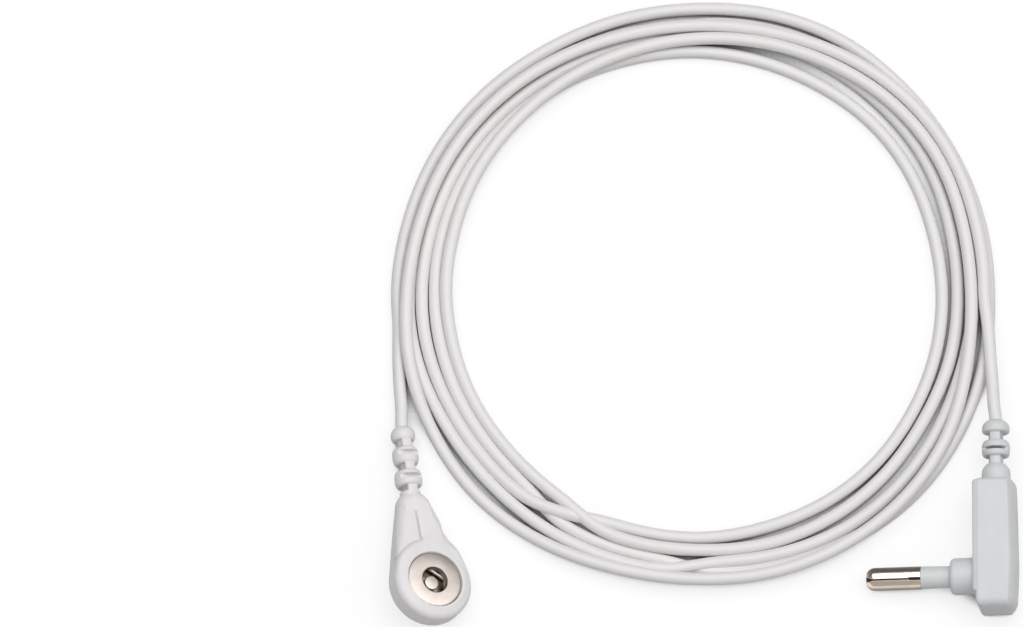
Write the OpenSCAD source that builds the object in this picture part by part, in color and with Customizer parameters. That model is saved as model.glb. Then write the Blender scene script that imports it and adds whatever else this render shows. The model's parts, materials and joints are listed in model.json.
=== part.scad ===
// Grounding cord of an anti-static wrist strap. One end has a snap socket that
// clips onto the band's stud, the other a right-angle plug with one 4 mm contact
// pin, and the soft cord between them lies in a loose round coil.
// Millimetres. X runs to the right, Y away from the viewer and Z up; the origin is
// on the table, midway between the outer limits of the two moulded ends.

/* [Cord] */
// Diameter of the cord's jacket
cord_d = 2.2; // [1.9:0.1:2.4]
// Diameter of the stranded conductor
conductor_d = 0.7; // [0.5:0.05:0.9]
// Diameter of the opening inside the coil
coil_inner_d = 84; // [83:0.5:85]
// Strands side by side on the table
coil_strands = 5; // [5:1:7]
// Strands that ride on top of them
coil_top_strands = 2; // [0:1:3]
// How far neighbouring strands press into each other
strand_press = 0.1; // [0.05:0.05:0.4]

/* [Snap head] */
// Diameter of the round head
head_d = 14.2; // [13.8:0.1:16]
// Thickness of the round head
head_t = 5.2; // [5:0.1:6.5]
// Radius of the head's rounded rim
head_edge_r = 1.4; // [0.4:0.1:1.8]
// From the middle of the head to the end of its tail
tail_l = 16.3; // [15.6:0.1:19]
// Thickness of the tail where the strain relief leaves it
tail_end_d = 4.1; // [3.8:0.1:4.4]
// Width of the tail there
tail_end_w = 5.6; // [4.6:0.1:6.4]
// How far the tail's top lies below the head's face
tail_drop = 0.5; // [0.2:0.1:0.8]
// Thickness of the floor under the inner mould
head_floor_t = 1; // [0.6:0.1:1.2]
// Gap between the head's inner mould and its rim, all round
head_wall_t = 1.4; // [1:0.1:1.5]

/* [Snap socket] */
// Diameter of the metal ring
ring_d = 9.9; // [9:0.1:10.6]
// Depth of the ring below the head's face
ring_recess = 0.3; // [0.1:0.05:0.5]
// Thickness of the ring's flange at its edge
ring_t = 0.35; // [0.25:0.05:0.5]
// How far the flange dips towards the hole
ring_dish = 0.15; // [0.05:0.05:0.2]
// Diameter of the hole that takes the stud
stud_bore_d = 4.6; // [4:0.1:5]
// Thickness of the lip around the hole
lip_t = 0.35; // [0.2:0.05:0.5]
// Length of the lip's straight wall
lip_l = 1; // [0.8:0.1:1.1]
// Diameter of each spring wire
wire_d = 0.5; // [0.4:0.05:0.6]
// Length of each spring wire
wire_l = 6; // [5:0.1:6.2]
// How far each wire stands in the hole
wire_grip = 0.45; // [0.3:0.05:0.6]
// How far each wire is pushed aside by the stud
wire_travel = 0.3; // [0.2:0.05:0.3]
// Turn of the wires about the hole
wire_turn = 50; // [-90:1:90]
// Outer diameter of the cup under the ring
cup_d = 9; // [8.8:0.1:9.2]
// Wall and floor of the cup
cup_t = 0.3; // [0.2:0.05:0.4]
// Diameter of the well that the rivet stands in
well_d = 5.8; // [5.2:0.1:6]
// Diameter of the rivet's post
rivet_head_d = 2.5; // [2.2:0.1:2.8]
// Height of the rivet's post above the cup's floor
rivet_head_h = 1.15; // [0.6:0.05:1.3]
// Diameter of the rivet's shank
rivet_shank_d = 1.6; // [1.2:0.1:1.8]
// Thickness of the rivet's closed end
rivet_clinch_t = 0.35; // [0.2:0.05:0.4]

/* [Plug] */
// Width of the plug body, along the pin
plug_w = 7.2; // [6.8:0.1:9]
// Thickness of the plug body
plug_t = 8.8; // [8:0.1:10]
// Length of the plug body, along the cord
plug_l = 23; // [22.6:0.1:27]
// Radius of the body's rounded edges
plug_edge_r = 0.9; // [0.4:0.1:1.2]
// Height of the pad that carries the collar
pad_t = 0.6; // [0.2:0.1:0.8]
// How far the pad stays inside the body's front, back and top
pad_inset = 0.3; // [0.2:0.1:0.6]
// Thickness of the body's wall
plug_wall_t = 1.1; // [0.8:0.1:1.3]
// From the body's lower end to the pin's axis
pin_y = 6.35; // [5.4:0.05:7]
// Diameter of the collar at the pin's root
collar_d = 6.4; // [5.2:0.1:7.4]
// Length of the collar
collar_l = 4.4; // [3:0.1:6]
// Radius of the collar's rounded shoulder
collar_edge_r = 1; // [0.4:0.1:1.1]

/* [Contact pin] */
// Diameter of the bare pin
pin_d = 4; // [3.6:0.1:4.4]
// Length of the bare pin
pin_l = 9.6; // [8:0.1:12]
// Length of the pin's rounded tip
pin_tip_l = 1.6; // [1.2:0.1:2]
// Thickness of the rolled sheet
pin_wall_t = 0.35; // [0.25:0.05:0.4]
// Diameter of the insulating sleeve where it meets the bare pin
sleeve_d = 3.95; // [3.8:0.05:4]
// Diameter of the sleeve at the collar
sleeve_root_d = 3.75; // [3.6:0.05:3.8]
// Length of the sleeve outside the collar
sleeve_l = 5.1; // [3:0.1:7]
// Thickness of the sleeve
sleeve_t = 0.4; // [0.3:0.05:0.5]
// Width of the seam along the pin
seam_w = 0.14; // [0.05:0.01:0.3]
// Length of the wide notch at the sleeve's end of the seam
seam_notch_l = 2; // [1:0.1:3]
// Width of that notch
seam_notch_w = 0.45; // [0.3:0.05:0.6]
// Turn of the seam from straight up towards the viewer
seam_turn = 16; // [0:1:45]

/* [Strain reliefs] */
// Length of the snap head's relief
snap_relief_l = 13; // [12.6:0.1:15]
// Diameter of the snap head's relief
snap_relief_d = 4.2; // [3.8:0.1:4.4]
// Bend between the head and its relief
snap_relief_bend = 5; // [0:0.5:5]
// Length of the plug's relief
plug_relief_l = 11.2; // [10.8:0.1:14]
// Diameter of the plug's relief
plug_relief_d = 4.8; // [4.2:0.1:5.4]
// Diameter of the core that the notches leave
relief_core_d = 3; // [2.8:0.1:3.2]
// Distance from one pair of side notches to the next
notch_pitch = 4.25; // [4.05:0.05:4.35]
// Height of the side notches
side_notch_h = 1.3; // [0.8:0.1:1.4]
// Height of the slots across the front and the back
front_slot_h = 0.6; // [0.3:0.1:0.8]
// Thickness of the web between a slot and the side notches above it
notch_web_t = 0.9; // [0.5:0.1:1.1]

/* [Inner joint] */
// Diameter of the resistor
resistor_d = 1.9; // [1.6:0.1:2.1]
// Length of the resistor
resistor_l = 3.5; // [3:0.1:3.6]
// Length of each end cap of the resistor
cap_l = 0.8; // [0.6:0.1:1]
// Wall of the end caps
cap_t = 0.15; // [0.1:0.05:0.2]
// Diameter of the resistor's leads
lead_d = 0.5; // [0.4:0.05:0.6]
// Length of lead soldered onto the tag
lead_lap = 1; // [0.8:0.1:1.1]
// Diameter of the crimp on lead and conductor
crimp_d = 1.3; // [1.2:0.05:1.6]
// Length of the crimp
crimp_l = 1.6; // [1.4:0.1:1.8]
// Wall of the ferrule that grips the jacket
clamp_t = 0.25; // [0.15:0.05:0.25]
// Length of the ferrule
clamp_l = 1.3; // [1:0.1:1.4]
// Thickness of both solder tags
tag_t = 0.3; // [0.2:0.05:0.35]
// Width of the tags' tongues
tag_w = 1.6; // [1.2:0.1:1.9]

/* [Lie on the table] */
// Turn of the snap head about the upright axis
snap_lean = 11.5; // [10:0.5:13]
// Sideways roll of the snap head
snap_roll = 24; // [20:1:26]
// How far the snap head's tail dips
snap_pitch = 3.5; // [2.5:0.5:3.5]
// Middle of the snap head from the origin, along X
snap_x = -47.5; // [-48:0.05:-47]
// Middle of the snap head from the origin, along Y
snap_y = -11.15; // [-11.6:0.05:-10.6]
// Middle of the plug body from the origin, along X
plug_x = 50.6; // [50:0.05:51.5]
// Lower end of the plug body from the origin, along Y
plug_y = -15.85; // [-16.6:0.05:-15.6]
// Middle of the coil from the origin, along X
coil_x = -1.65; // [-2:0.05:-1]
// Middle of the coil from the origin, along Y
coil_y = 42.3; // [41.9:0.05:42.9]

/* [Fits] */
// Gap between moulded-in pieces, on each side
fit = 0.03; // [0.02:0.01:0.05]
// Gap above and below the spring wires
wire_gap = 0.05; // [0.03:0.01:0.06]
// Gap around the metal ring in the head's face
ring_gap = 0.05; // [0.03:0.01:0.1]

/* [Hidden] */

// smoothness of turned shapes and of shapes that are hulled
$fn = 64;
hull_fn = 24;
// the overshoot of every cut
cut = 0.5;

jacket_white = [0.88, 0.87, 0.87];
head_white = [0.89, 0.88, 0.88];
plug_white = [0.84, 0.85, 0.855];
nickel = [0.80, 0.75, 0.70];
tin = [0.78, 0.78, 0.76];
brass = [0.80, 0.66, 0.36];
ceramic_blue = [0.45, 0.62, 0.72];
copper = [0.78, 0.48, 0.33];
mould_grey = [0.75, 0.75, 0.74];

cord_r = cord_d / 2;

// The inner joint runs along +Y from the start of the lead on its tag. Each
// _free is a bare length between two pieces of it.
lead_free = 0.2;
far_lead_free = 0.4;
conductor_free = 0.6;
jacket_free = 0.2;
// the empty middle of the crimp, between lead and conductor
crimp_gap = 0.2;
resistor_s = lead_lap + lead_free;
resistor_end = resistor_s + resistor_l;
crimp_s = resistor_end + far_lead_free;
crimp_bore_d = conductor_d + 2 * fit;
far_lead_l = far_lead_free + (crimp_l - crimp_gap) / 2;
conductor_s = crimp_s + (crimp_l + crimp_gap) / 2;
jacket_s = crimp_s + crimp_l + conductor_free;
clamp_s = jacket_s + jacket_free;
joint_end = clamp_s + clamp_l;
// the inner moulds reach this far past the joint, and this far to each side of it
mould_end_t = 0.2;
mould_side_t = 0.5;

// Heights in the snap head, from its middle plane along the face's normal.
face_z = head_t / 2;
ring_top_z = face_z - ring_recess;
seat_z = ring_top_z - ring_t;
lip_bottom_z = seat_z - lip_l;
wire_z = lip_bottom_z - wire_gap - wire_d / 2;
shelf_z = wire_z - wire_d / 2 - wire_gap;
head_mould_z = -face_z + head_floor_t;
clinch_floor_t = 0.35;
rivet_clinch_z = head_mould_z + clinch_floor_t;
snap_tag_z = rivet_clinch_z + rivet_clinch_t;
cup_bottom_z = snap_tag_z + tag_t;
cup_floor_z = cup_bottom_z + cup_t;
snap_axis_z = cup_bottom_z + lead_d / 2;

bore_r = stud_bore_d / 2;
cup_bore_r = cup_d / 2 - cup_t;
wire_offset = bore_r - wire_grip + wire_d / 2;
head_mould_r = head_d / 2 - head_wall_t;
cup_side_t = 0.7;
snap_joint_y = cup_d / 2 + cup_side_t;
snap_mould_end = snap_joint_y + joint_end + mould_end_t;
inner_mould_tail_w = resistor_d + 2 * mould_side_t;

// Places in the plug, from the middle of the body's lower end.
pin_face_x = plug_w / 2;
pin_shoulder_x = pin_face_x + collar_l + sleeve_l;
pin_reach_x = pin_shoulder_x + pin_l;
neck_r = sleeve_root_d / 2 - sleeve_t - fit;
pin_tag_x = lead_d / 2 + tag_t;
pin_tag_r = 1.7;
// bare tongue between the tag's disc and the joint
tongue_free = 0.5;
plug_joint_y = pin_y + pin_tag_r + tongue_free;
plug_mould_end = plug_joint_y + joint_end + mould_end_t;
// the pin's neck is bare this far between the tag and the sleeve
neck_free = 1;
sleeve_in_x = pin_tag_x + neck_free;
pin_stub_r = 0.8;
pin_peen_r = 1.1;
pin_peen_t = 0.3;
tip_flat_r = 0.6;
seam_flare_w = 0.9;
seam_flare_l = 1.2;
snap_tag_r = 2.4;
clinch_rim_t = 0.5;
rivet_clinch_r = rivet_shank_d / 2 + clinch_rim_t;
rivet_dome_h = 0.35;
tail_chamfer = 0.6;

// The root of each relief inside its moulding, and the bore for the cord.
cord_bore_d = cord_d + 2 * fit;
snap_root_step = 0.15;
snap_root_d = relief_core_d - 2 * snap_root_step;
bend_room_step = 0.2;
bend_room_d = cord_bore_d + 2 * bend_room_step;
bend_gap = snap_relief_d / 2 * sin(snap_relief_bend) + fit;
snap_root_l = tail_l - snap_mould_end + 2 * bend_gap;
plug_root_step = 0.1;
plug_root_d = relief_core_d + 2 * plug_root_step;
root_flange_w = 0.6;
root_flange_t = 0.8;
root_flange_d = plug_root_d + 2 * root_flange_w;
bridge_w = 1.4;
// flat ring around the cord at a relief's domed end
end_flat_w = 0.06;

// The gap that the pin's tapered tip keeps from the table.
pin_rest_gap = 0.02;

// The head rests on its rim, and the plug on one long edge and the pin's tip.
snap_normal_z = cos(snap_roll) * cos(snap_pitch);
snap_z = (head_d / 2 - head_edge_r) * sqrt(1 - pow(snap_normal_z, 2))
    + (face_z - head_edge_r) * snap_normal_z + head_edge_r;
rest_edge_x = plug_w / 2 - pad_t - plug_edge_r;
rest_dx = pin_reach_x - pin_tip_l - rest_edge_x;
rest_dz = plug_t / 2 - plug_edge_r - pin_d / 2 - pin_rest_gap;
plug_roll = atan(rest_dz / rest_dx)
    + asin(plug_edge_r / sqrt(pow(rest_dx, 2) + pow(rest_dz, 2)));
plug_z = rest_edge_x * sin(plug_roll)
    + (plug_t / 2 - plug_edge_r) * cos(plug_roll) + plug_edge_r;

snap_first_notch_y = 0.5;
plug_first_notch_y = 3.25;
snap_relief_notches = [for (i = [0 : 2]) snap_first_notch_y + i * notch_pitch];
plug_relief_notches = [for (i = [0 : 1]) plug_first_notch_y + i * notch_pitch];

coil_pitch = cord_d - strand_press;
coil_inner_r = coil_inner_d / 2;
coil_top_start = (coil_strands - 1 - coil_top_strands) / 2;
coil_top_z = cord_r + sqrt(pow(cord_d, 2) - pow(coil_pitch / 2, 2));
coil_fn = 120;
strand_fn = 32;
// steps of a round profile, in degrees, and of the curve between two route points
arc_step = 15;
route_steps = 2;

// Free stretches of the cord, from each relief to the rim of the coil.
snap_route = [[-52.5, 21.4, 1.8], [-52.8, 25.4, 1.4], [-53, 30.4, 1.2], [-53, 36.4, 1.1]];
plug_route = [[50.3, 21.4, 4.1], [50.1, 25.4, 3.5], [49.8, 29.4, 3.1], [49.4, 35.4, 3.2]];

function turn_x(p, a) = [p.x, p.y * cos(a) - p.z * sin(a), p.y * sin(a) + p.z * cos(a)];
function turn_y(p, a) = [p.x * cos(a) + p.z * sin(a), p.y, -p.x * sin(a) + p.z * cos(a)];
function turn_z(p, a) = [p.x * cos(a) - p.y * sin(a), p.x * sin(a) + p.y * cos(a), p.z];
function unit(v) = v / norm(v);

// A point of the snap head, of its relief and of the plug, where they lie.
function snap_point(p) = [snap_x, snap_y, snap_z]
    + turn_z(turn_x(turn_y(p, snap_roll), -snap_pitch), snap_lean);
function snap_relief_point(s) = snap_point([0, tail_l, snap_axis_z]
    + turn_z([0, s, 0], -snap_relief_bend));
function plug_point(p) = [plug_x, plug_y, plug_z] + turn_y(p, -plug_roll);

// A smooth curve through points: each span goes from b to c, a and d are beside it.
function curve_at(a, b, c, d, t) = 0.5 * (2 * b + (c - a) * t
    + (2 * a - 5 * b + 4 * c - d) * t * t + (3 * b - a - 3 * c + d) * t * t * t);
function curve(p, steps) = [for (i = [1 : len(p) - 2]) for (k = [0 : steps - 1])
    curve_at(p[i - 1], p[i], p[i + 1], i + 2 < len(p) ? p[i + 2] : 2 * p[i + 1] - p[i],
        k / steps), p[len(p) - 1]];
function heading(p, i) = unit(p[min(i + 1, len(p) - 1)] - p[max(i - 1, 0)]);
function tube_ring(c, t, r, sides) = let (side = unit(cross(t, [0, 0, 1])), up = cross(side, t))
    [for (k = [0 : sides - 1]) c + r * (cos(360 * k / sides) * side + sin(360 * k / sides) * up)];

// Sweeps a round section along a path.
module tube(path, r, sides = 8) {
    last = len(path) - 1;
    points = [for (i = [0 : last]) each tube_ring(path[i], heading(path, i), r, sides)];
    walls = [for (i = [0 : last - 1]) for (k = [0 : sides - 1]) let (n = (k + 1) % sides)
        [i * sides + k, i * sides + n, (i + 1) * sides + n, (i + 1) * sides + k]];
    start = [[for (k = [sides - 1 : -1 : 0]) k]];
    end = [[for (k = [0 : sides - 1]) last * sides + k]];
    polyhedron(points, concat(walls, start, end), convexity = 4);
}

module snap_place() {
    translate([snap_x, snap_y, snap_z]) rotate([0, 0, snap_lean])
        rotate([-snap_pitch, 0, 0]) rotate([0, snap_roll, 0]) children();
}

module plug_place() {
    translate([plug_x, plug_y, plug_z]) rotate([0, -plug_roll, 0]) children();
}

module snap_joint_place() {
    snap_place() translate([0, snap_joint_y, snap_axis_z]) children();
}

module plug_joint_place() {
    plug_place() translate([0, plug_joint_y, 0]) children();
}

// A round bar along +Y from s.
module bar(s, l, d) {
    translate([0, s, 0]) rotate([-90, 0, 0]) cylinder(d = d, h = l);
}

// A turned shape whose axis is +Y, from a profile of [radius, place] points.
module turned_y(profile) {
    rotate([-90, 0, 0]) rotate_extrude() polygon(profile);
}

// A turned disc with a rounded rim.
module rounded_disc(r, z0, z1, edge) {
    rotate_extrude() {
        translate([0, z0]) square([r - edge, z1 - z0]);
        translate([0, z0 + edge]) square([r, z1 - z0 - 2 * edge]);
        translate([r - edge, z0 + edge]) circle(edge);
        translate([r - edge, z1 - edge]) circle(edge);
    }
}

// A slab with four rounded corners, and a block whose twelve edges are rounded.
module rounded_slab(w, l, h, r) {
    linear_extrude(h, center = true) {
        square([w - 2 * r, l], center = true);
        square([w, l - 2 * r], center = true);
        for (x = [-1, 1], y = [-1, 1]) translate([x * (w / 2 - r), y * (l / 2 - r)]) circle(r);
    }
}

module rounded_block(w, l, t, r) {
    intersection() {
        rounded_slab(w, l, t, r);
        rotate([90, 0, 0]) rounded_slab(w, t, l, r);
        rotate([0, 90, 0]) rounded_slab(t, l, w, r);
    }
}

// --- pieces of the inner joint, the same at both ends ---

module resistor_body() {
    neck = resistor_d / 2 - cap_t - fit;
    turned_y([[0, resistor_s + cap_t + fit], [neck, resistor_s + cap_t + fit],
        [neck, resistor_s + cap_l + fit], [resistor_d / 2, resistor_s + cap_l + fit],
        [resistor_d / 2, resistor_end - cap_l - fit], [neck, resistor_end - cap_l - fit],
        [neck, resistor_end - cap_t - fit], [0, resistor_end - cap_t - fit]]);
}

module resistor_caps() {
    for (far = [false, true]) translate([0, far ? resistor_end : resistor_s, 0])
        rotate([0, 0, far ? 180 : 0]) difference() {
            bar(0, cap_l, resistor_d);
            bar(cap_t, cap_l, resistor_d - 2 * cap_t);
        }
}

module resistor_leads() {
    bar(0, resistor_s, lead_d);
    bar(resistor_end, far_lead_l, lead_d);
}

module crimp() {
    difference() {
        bar(crimp_s, crimp_l, crimp_d);
        bar(crimp_s - cut, crimp_l + 2 * cut, crimp_bore_d);
    }
}

module conductor() {
    bar(conductor_s, jacket_s - conductor_s, conductor_d);
}

module cord_clamp() {
    difference() {
        bar(clamp_s, clamp_l, cord_d + 2 * (clamp_t + fit));
        bar(clamp_s - cut, clamp_l + 2 * cut, cord_d + 2 * fit);
    }
}

// The room that a mould leaves for all of them, up to the cord's way out.
module joint_room(end) {
    bar(-fit, resistor_s + 2 * fit, lead_d + 2 * fit);
    bar(resistor_s - fit, resistor_l + 2 * fit, resistor_d + 2 * fit);
    bar(resistor_end, crimp_s - resistor_end, lead_d + 2 * fit);
    bar(crimp_s - fit, crimp_l + 2 * fit, crimp_d + 2 * fit);
    bar(crimp_s + crimp_l, jacket_s - crimp_s - crimp_l, conductor_d + 2 * fit);
    bar(jacket_s - fit, end - jacket_s + cut, cord_d + 2 * fit);
    bar(clamp_s - fit, clamp_l + 2 * fit, cord_d + 2 * clamp_t + 4 * fit);
}

// --- strain reliefs ---

// A slab cut across a relief that leaves its core and one bridge beside the core,
// upright for turn = 0 and level for turn = 90.
module relief_cut(y, h, turn) {
    wide = 4 * relief_core_d;
    difference() {
        translate([-wide / 2, y, -wide / 2]) cube([wide, h, wide]);
        bar(y - cut, h + 2 * cut, relief_core_d);
        rotate([0, turn, 0]) translate([-bridge_w / 2, y - cut, -wide])
            cube([bridge_w, h + 2 * cut, 2 * wide]);
    }
}

// A relief along +Y from 0: a body with a domed end and its pairs of side notches,
// each but the first with a slot across front and back below it.
module relief_body(l, d, notches) {
    dome = (d - cord_bore_d) / 2 - end_flat_w;
    difference() {
        rotate([-90, 0, 0]) rotate_extrude() {
            square([d / 2, l - dome]);
            square([d / 2 - dome, l]);
            intersection() {
                translate([d / 2 - dome, l - dome]) circle(dome);
                square([d / 2, l]);
            }
        }
        for (y = notches) relief_cut(y, side_notch_h, 0);
        for (i = [1 : len(notches) - 1])
            relief_cut(notches[i] - notch_web_t - front_slot_h, front_slot_h, 90);
    }
}

module snap_relief_place() {
    translate([0, tail_l, snap_axis_z]) rotate([0, 0, -snap_relief_bend]) children();
}

module snap_strain_relief() {
    color(head_white) snap_place() difference() {
        union() {
            translate([0, 0, snap_axis_z]) bar(snap_mould_end + fit, snap_root_l, snap_root_d);
            snap_relief_place() translate([0, bend_gap, 0])
                relief_body(snap_relief_l - bend_gap, snap_relief_d, snap_relief_notches);
        }
        translate([0, 0, snap_axis_z])
            bar(snap_mould_end - cut, tail_l - snap_mould_end + cut - fit, cord_bore_d);
        snap_relief_place() {
            sphere(d = bend_room_d);
            bar(fit, snap_relief_l + cut, cord_bore_d);
        }
    }
}

module plug_strain_relief() {
    color(plug_white) plug_place() difference() {
        union() {
            bar(plug_mould_end + fit, root_flange_t, root_flange_d);
            bar(plug_mould_end + fit, plug_l - plug_mould_end, plug_root_d);
            translate([0, plug_l, 0])
                relief_body(plug_relief_l, plug_relief_d, plug_relief_notches);
        }
        bar(plug_mould_end - cut, plug_l - plug_mould_end + plug_relief_l + 2 * cut, cord_bore_d);
    }
}

// --- snap head ---

// The form of the head's inner mould, grown by g on every side.
module head_mould_form(g) {
    translate([0, 0, head_mould_z - g])
        cylinder(r = head_mould_r + g, h = seat_z - head_mould_z + 2 * g);
    half = inner_mould_tail_w / 2 + g;
    translate([-half, 0, snap_axis_z - half])
        cube([2 * half, snap_mould_end + g, 2 * half]);
}

module snap_tag_outline(g) {
    circle(snap_tag_r + g);
    translate([-tag_w / 2 - g, 0]) square([tag_w + 2 * g, snap_joint_y + lead_lap + g]);
}

module snap_housing() {
    color(head_white) snap_place() difference() {
        union() {
            rounded_disc(head_d / 2, -face_z, face_z, head_edge_r);
            hull() {
                rounded_disc(head_d / 2, -face_z, face_z - tail_drop, head_edge_r, $fn = hull_fn);
                for (x = [-1, 1]) translate([x * (tail_end_w - tail_end_d) / 2, 0, snap_axis_z]) {
                    bar(tail_l - 3 * tail_chamfer, 2 * tail_chamfer, tail_end_d, $fn = hull_fn);
                    bar(tail_l - tail_chamfer, tail_chamfer, tail_end_d - tail_chamfer, $fn = hull_fn);
                }
            }
        }
        head_mould_form(fit);
        translate([0, 0, seat_z]) cylinder(r = ring_d / 2 + ring_gap, h = face_z - seat_z + cut);
        translate([0, 0, snap_axis_z])
            bar(snap_mould_end, tail_l - snap_mould_end + cut, snap_root_d + 2 * fit);
    }
}

module snap_inner_mould() {
    color(mould_grey) snap_place() difference() {
        head_mould_form(0);
        translate([0, 0, cup_bottom_z]) cylinder(r = cup_d / 2 + fit, h = seat_z - cup_bottom_z + cut);
        translate([0, 0, snap_tag_z - fit]) linear_extrude(tag_t + fit) snap_tag_outline(fit);
        translate([0, 0, rivet_clinch_z - fit])
            cylinder(r = rivet_clinch_r + fit, h = rivet_clinch_t + fit);
        translate([0, snap_joint_y, snap_axis_z]) joint_room(snap_mould_end - snap_joint_y);
    }
}

// The flange with its dip towards the hole, and the lip that turns down around it.
module socket_ring() {
    color(nickel) snap_place() rotate_extrude() polygon([
        [ring_d / 2, seat_z], [ring_d / 2, ring_top_z], [bore_r + lip_t, ring_top_z - ring_dish],
        [bore_r, seat_z], [bore_r, lip_bottom_z], [bore_r + lip_t, lip_bottom_z],
        [bore_r + lip_t, seat_z]]);
}

module socket_cup() {
    color(nickel) snap_place() rotate_extrude() polygon([
        [cup_d / 2, cup_bottom_z], [cup_d / 2, seat_z], [cup_bore_r, seat_z],
        [cup_bore_r, shelf_z], [well_d / 2, shelf_z], [well_d / 2, cup_floor_z],
        [rivet_shank_d / 2 + fit, cup_floor_z], [rivet_shank_d / 2 + fit, cup_bottom_z]]);
}

// One spring wire with rounded ends; side is -1 for the left one and 1 for the right.
module spring_wire(side) {
    color(tin) snap_place() rotate([0, 0, wire_turn]) translate([side * wire_offset, 0, wire_z]) {
        straight = wire_l - wire_d;
        bar(-straight / 2, straight, wire_d);
        for (end = [-1, 1]) translate([0, end * straight / 2, 0]) sphere(d = wire_d);
    }
}

module socket_spring_left() {
    spring_wire(-1);
}

module socket_spring_right() {
    spring_wire(1);
}

// A domed post over the cup's floor, its shank, and the end closed under the tag.
module socket_rivet() {
    head_r = rivet_head_d / 2;
    dome = [for (a = [0 : arc_step : 90])
        [head_r * cos(a), cup_floor_z + rivet_head_h - rivet_dome_h * (1 - sin(a))]];
    color(nickel) snap_place() rotate_extrude() polygon(concat(
        [[0, rivet_clinch_z], [rivet_clinch_r, rivet_clinch_z], [rivet_clinch_r, snap_tag_z],
        [rivet_shank_d / 2, snap_tag_z], [rivet_shank_d / 2, cup_floor_z],
        [head_r, cup_floor_z]], dome));
}

module snap_solder_tag() {
    color(brass) snap_place() translate([0, 0, snap_tag_z]) linear_extrude(tag_t) difference() {
        snap_tag_outline(0);
        circle(rivet_shank_d / 2 + fit);
    }
}

module snap_resistor() {
    color(ceramic_blue) snap_joint_place() resistor_body();
}

module snap_resistor_caps() {
    color(tin) snap_joint_place() resistor_caps();
}

module snap_resistor_leads() {
    color(tin) snap_joint_place() resistor_leads();
}

module snap_crimp() {
    color(tin) snap_joint_place() crimp();
}

module snap_conductor() {
    color(copper) snap_joint_place() conductor();
}

module snap_cord_clamp() {
    color(tin) snap_joint_place() cord_clamp();
}

// --- cord ---

module snap_lead() {
    mouth = snap_relief_point(snap_relief_l);
    inside = [snap_point([0, snap_joint_y + jacket_s, snap_axis_z]), snap_relief_point(0)];
    color(jacket_white) tube(concat(inside, curve(concat([inside[1], mouth], snap_route), route_steps)),
        cord_r);
}

module plug_lead() {
    mouth = plug_point([0, plug_l + plug_relief_l, 0]);
    inside = plug_point([0, plug_joint_y + jacket_s, 0]);
    color(jacket_white) tube(concat([inside], curve(concat([inside, mouth], plug_route), route_steps)),
        cord_r);
}

// The coil's outer shape: strands side by side, with a few more in the grooves on top.
module cord_coil() {
    color(jacket_white) translate([coil_x, coil_y, 0]) rotate_extrude($fn = coil_fn) {
        for (i = [0 : coil_strands - 1]) translate([coil_inner_r + cord_r + i * coil_pitch, cord_r])
            circle(cord_r, $fn = strand_fn);
        for (i = [0 : coil_top_strands - 1])
            translate([coil_inner_r + cord_r + (coil_top_start + i + 0.5) * coil_pitch, coil_top_z])
                circle(cord_r, $fn = strand_fn);
        // closes the grooves between the two rows
        translate([coil_inner_r + cord_r, cord_r / 2])
            square([(coil_strands - 1) * coil_pitch, cord_r]);
        if (coil_top_strands > 0) translate([coil_inner_r + cord_r + coil_top_start * coil_pitch, cord_r])
            square([coil_top_strands * coil_pitch, coil_top_z - cord_r]);
    }
}

// --- plug ---

// A turned shape around the pin's axis, from a profile of [radius, distance] points
// that are measured outwards from the middle of the body.
module turned_out(profile) {
    translate([0, pin_y, 0]) rotate([0, -90, 0]) rotate_extrude() polygon(profile);
}

module plug_mould_form(g) {
    w = plug_w - pad_t - 2 * plug_wall_t + 2 * g;
    t = plug_t - 2 * plug_wall_t + 2 * g;
    translate([(pad_t - w) / 2, plug_wall_t - g, -t / 2])
        cube([w, plug_mould_end - plug_wall_t + 2 * g, t]);
}

module pin_tag_outline(g) {
    circle(pin_tag_r + g);
    translate([0, -tag_w / 2 - g]) square([plug_joint_y + lead_lap - pin_y + g, tag_w + 2 * g]);
}

// The tag stands upright across the pin's inner end, its tongue towards the cord.
module pin_tag_place() {
    translate([-pin_tag_x, pin_y, 0]) rotate([0, 90, 0]) rotate([0, 0, 90]) children();
}

module pin_solder_tag() {
    color(brass) plug_place() pin_tag_place() linear_extrude(tag_t) difference() {
        pin_tag_outline(0);
        circle(pin_stub_r + fit);
    }
}

module plug_housing() {
    shoulder = [for (a = [0 : arc_step : 90]) [collar_d / 2 - collar_edge_r * (1 - cos(a)),
        pin_face_x + collar_l - collar_edge_r * (1 - sin(a))]];
    pad_s = pin_y - collar_d / 2;
    pad_end = plug_l - pad_inset;
    color(plug_white) plug_place() difference() {
        union() {
            translate([pad_t / 2, plug_l / 2, 0])
                rounded_block(plug_w - pad_t, plug_l, plug_t, plug_edge_r);
            translate([-plug_w / 4, (pad_s + pad_end) / 2, 0])
                rounded_block(plug_w / 2, pad_end - pad_s, plug_t - 2 * pad_inset, plug_edge_r);
            turned_out(concat([[0, pin_face_x - plug_wall_t], [collar_d / 2, pin_face_x - plug_wall_t]],
                shoulder, [[0, pin_face_x + collar_l]]));
        }
        plug_mould_form(fit);
        turned_out([[0, 0], [sleeve_root_d / 2 + fit, 0],
            [sleeve_root_d / 2 + fit, pin_face_x + collar_l + cut],
            [0, pin_face_x + collar_l + cut]]);
        bar(plug_mould_end, root_flange_t + 2 * fit, root_flange_d + 2 * fit);
        bar(plug_mould_end, plug_l - plug_mould_end + cut, plug_root_d + 2 * fit);
    }
}

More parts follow.
